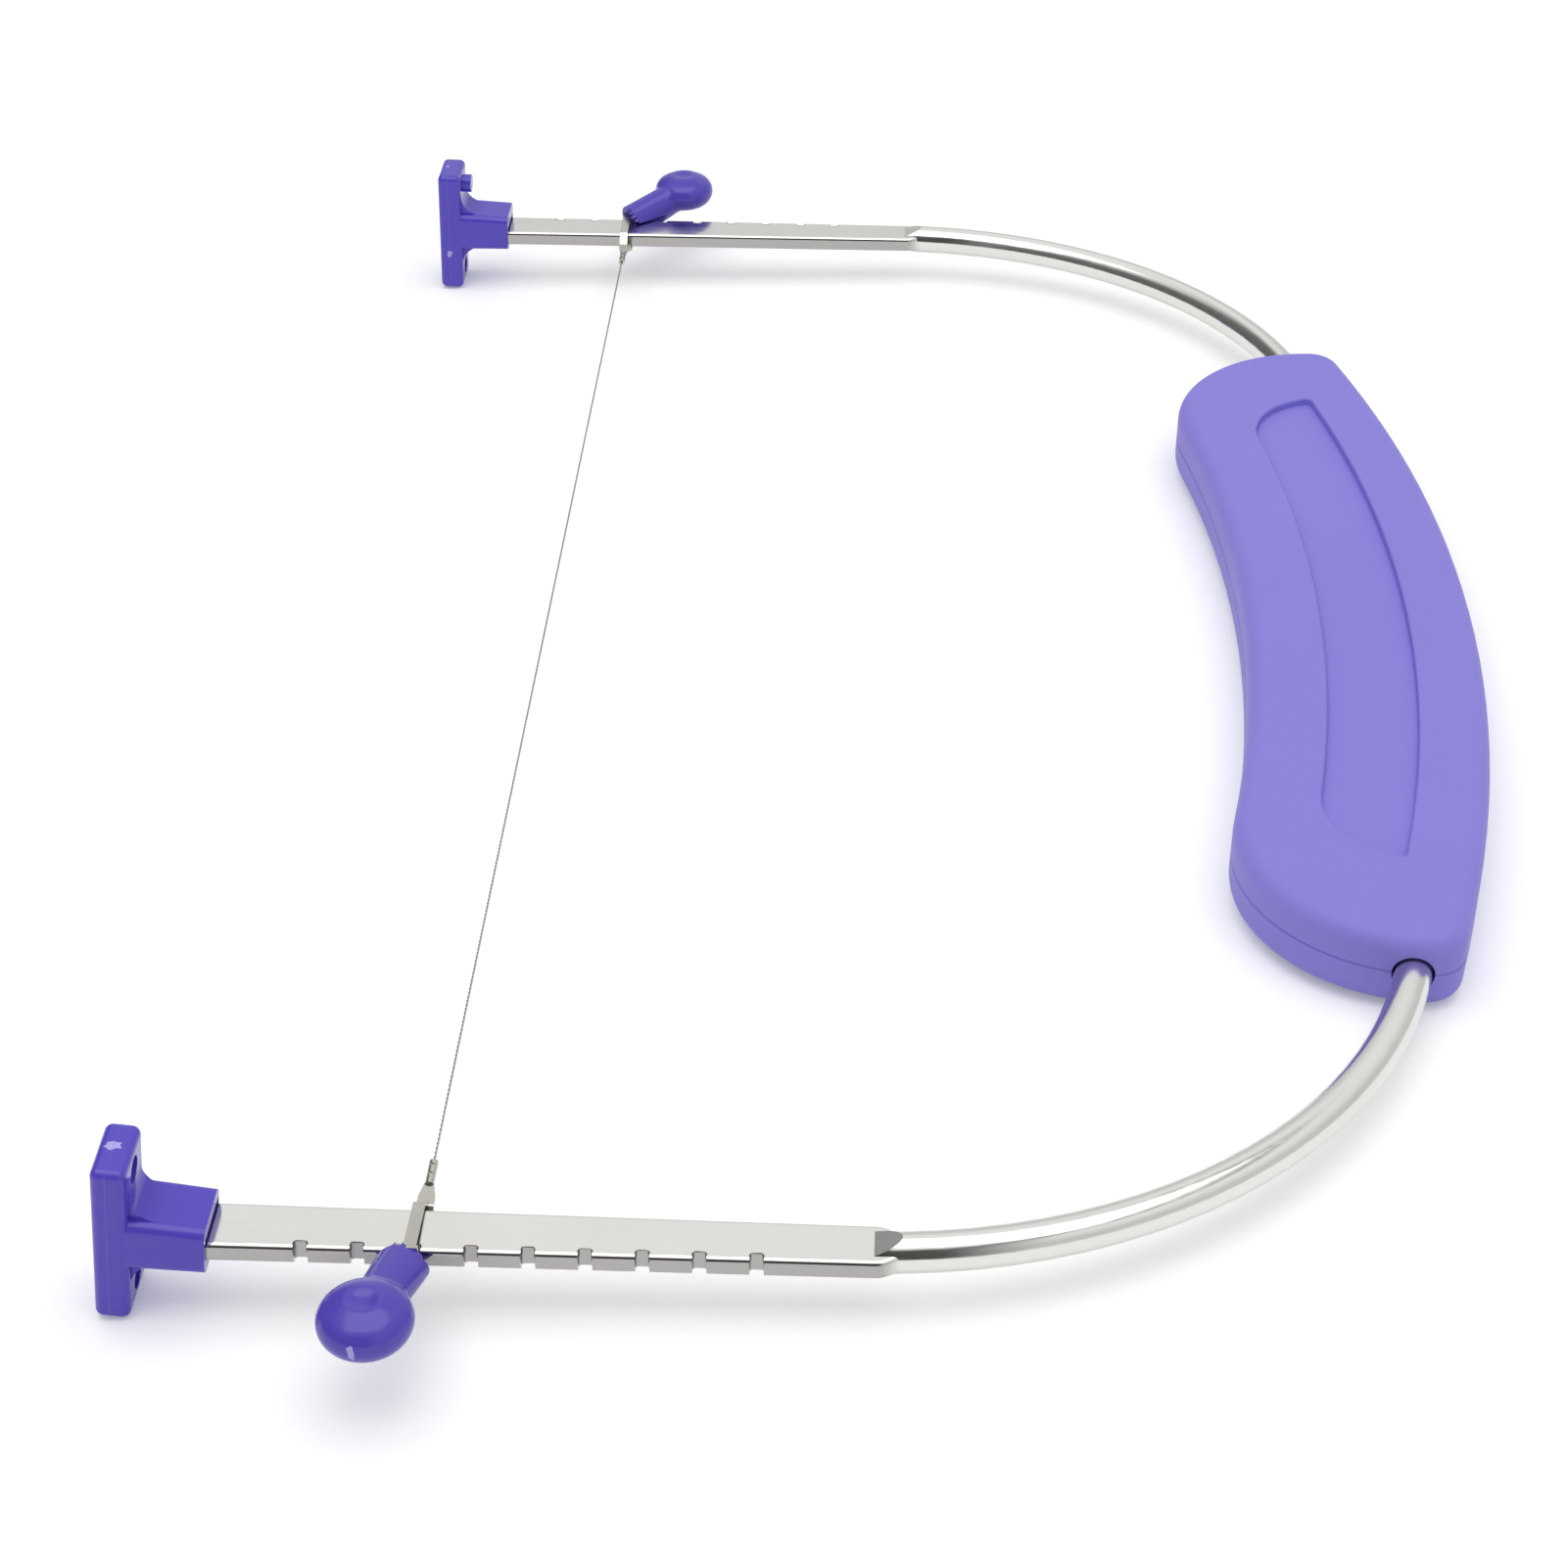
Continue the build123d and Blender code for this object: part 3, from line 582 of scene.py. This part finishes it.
# Where each zone fades, in the world's own direction from -1 to 1
WALL_RISE = (0.3, 0.65)
ROOM_BACK = (-0.35, -0.2)
ROOM_WIDTH = (0.25, 0.5)
ROOM_TOP = (0.76, 0.84)
LEFT_SIDE = (-0.5, -0.2)
LEFT_TOP = (0.6, 0.85)
GREY_FOOT = (0.74, 0.78)
GREY_TOP = (0.8, 0.84)
GREY_SIDE = (0.1, 0.3)
FLOOR_SIZE = 6.0
FLOOR_DROP = 0.0002
FLOOR_ROUGHNESS = 0.9
FLOOR_COLOUR = (0.9, 0.9, 0.9)
FLOOR_LIFT = 0.2
LAMP_PLACE = (0, -0.08, 0.75)
LAMP_SIZE = (0.9, 0.7)
LAMP_POWER = 3.0


def seen_share(tree):
    path = add_node(tree, "ShaderNodeLightPath")
    share = path.outputs["Is Camera Ray"]
    for name in ("Is Glossy Ray", "Is Transmission Ray"):
        either = add_node(tree, "ShaderNodeMath", operation="MAXIMUM")
        tree.links.new(share, either.inputs[0])
        tree.links.new(path.outputs[name], either.inputs[1])
        share = either.outputs["Value"]
    return share


def make_floor():
    bpy.ops.mesh.primitive_plane_add(size=FLOOR_SIZE, location=(0, 0, -FLOOR_DROP))
    floor = bpy.context.object
    floor.name = "floor"
    material, tree, shader = new_material(
        "floor_white", FLOOR_COLOUR, FLOOR_ROUGHNESS, specular=0.0
    )
    shader.inputs["Emission Color"].default_value = (1, 1, 1, 1)
    lift = ramp_between(tree, seen_share(tree), 0.0, FLOOR_LIFT, 0.0, 1.0)
    tree.links.new(lift, shader.inputs["Emission Strength"])
    floor.data.materials.append(material)


def make_world():
    world = bpy.data.worlds.new("studio")
    bpy.context.scene.world = world
    world.use_nodes = True
    tree = world.node_tree
    back = tree.nodes["Background"]
    back.inputs["Color"].default_value = (1, 1, 1, 1)
    place = add_node(tree, "ShaderNodeTexCoord")
    parts = add_node(tree, "ShaderNodeSeparateXYZ")
    tree.links.new(place.outputs["Generated"], parts.inputs["Vector"])
    height = parts.outputs["Z"]
    aside = add_node(tree, "ShaderNodeMath", operation="ABSOLUTE")
    tree.links.new(parts.outputs["X"], aside.inputs[0])
    walls = ramp_between(tree, height, WALL_FOOT_LIGHT, WALL_LIGHT, *WALL_RISE)
    behind = product(
        tree,
        ramp_between(tree, parts.outputs["Y"], 1.0, 0.0, *ROOM_BACK),
        ramp_between(tree, aside.outputs["Value"], 1.0, 0.0, *ROOM_WIDTH),
    )
    room = product(tree, behind, ramp_between(tree, height, 1.0, 0.0, *ROOM_TOP))
    left = product(
        tree,
        ramp_between(tree, parts.outputs["X"], 1.0, 0.0, *LEFT_SIDE),
        ramp_between(tree, height, 1.0, 0.0, *LEFT_TOP),
    )
    high = product(
        tree,
        ramp_between(tree, height, 0.0, 1.0, *GREY_FOOT),
        ramp_between(tree, height, 1.0, 0.0, *GREY_TOP),
    )
    grey = product(tree, high, ramp_between(tree, parts.outputs["X"], 0.0, 1.0, *GREY_SIDE))
    lit = walls
    for zone, share in ((room, ROOM_SHARE), (left, LEFT_SHARE), (grey, GREY_SHARE)):
        lit = product(tree, lit, ramp_between(tree, zone, 1.0, share, 0.0, 1.0))
    strength = add_node(tree, "ShaderNodeMix", data_type="FLOAT")
    tree.links.new(seen_share(tree), strength.inputs["Factor"])
    strength.inputs["A"].default_value = AMBIENT_LIGHT
    tree.links.new(lit, strength.inputs["B"])
    shown = add_node(tree, "ShaderNodeMix", data_type="FLOAT")
    path = add_node(tree, "ShaderNodeLightPath")
    tree.links.new(path.outputs["Is Camera Ray"], shown.inputs["Factor"])
    tree.links.new(strength.outputs["Result"], shown.inputs["A"])
    shown.inputs["B"].default_value = WALL_LIGHT
    tree.links.new(shown.outputs["Result"], back.inputs["Strength"])


def make_lamp():
    data = bpy.data.lights.new("overhead", "AREA")
    data.shape = "RECTANGLE"
    data.size, data.size_y = LAMP_SIZE
    data.energy = LAMP_POWER
    lamp = bpy.data.objects.new("overhead", data)
    lamp.location = LAMP_PLACE
    lamp.rotation_euler = (-Vector(LAMP_PLACE)).to_track_quat("-Z", "Y").to_euler()
    bpy.context.collection.objects.link(lamp)


make_camera()
dress_frame()
make_wire()
make_marks()
make_notch_rim_shade()
make_floor()
make_world()
make_lamp()
bpy.context.scene.view_settings.view_transform = "Standard"
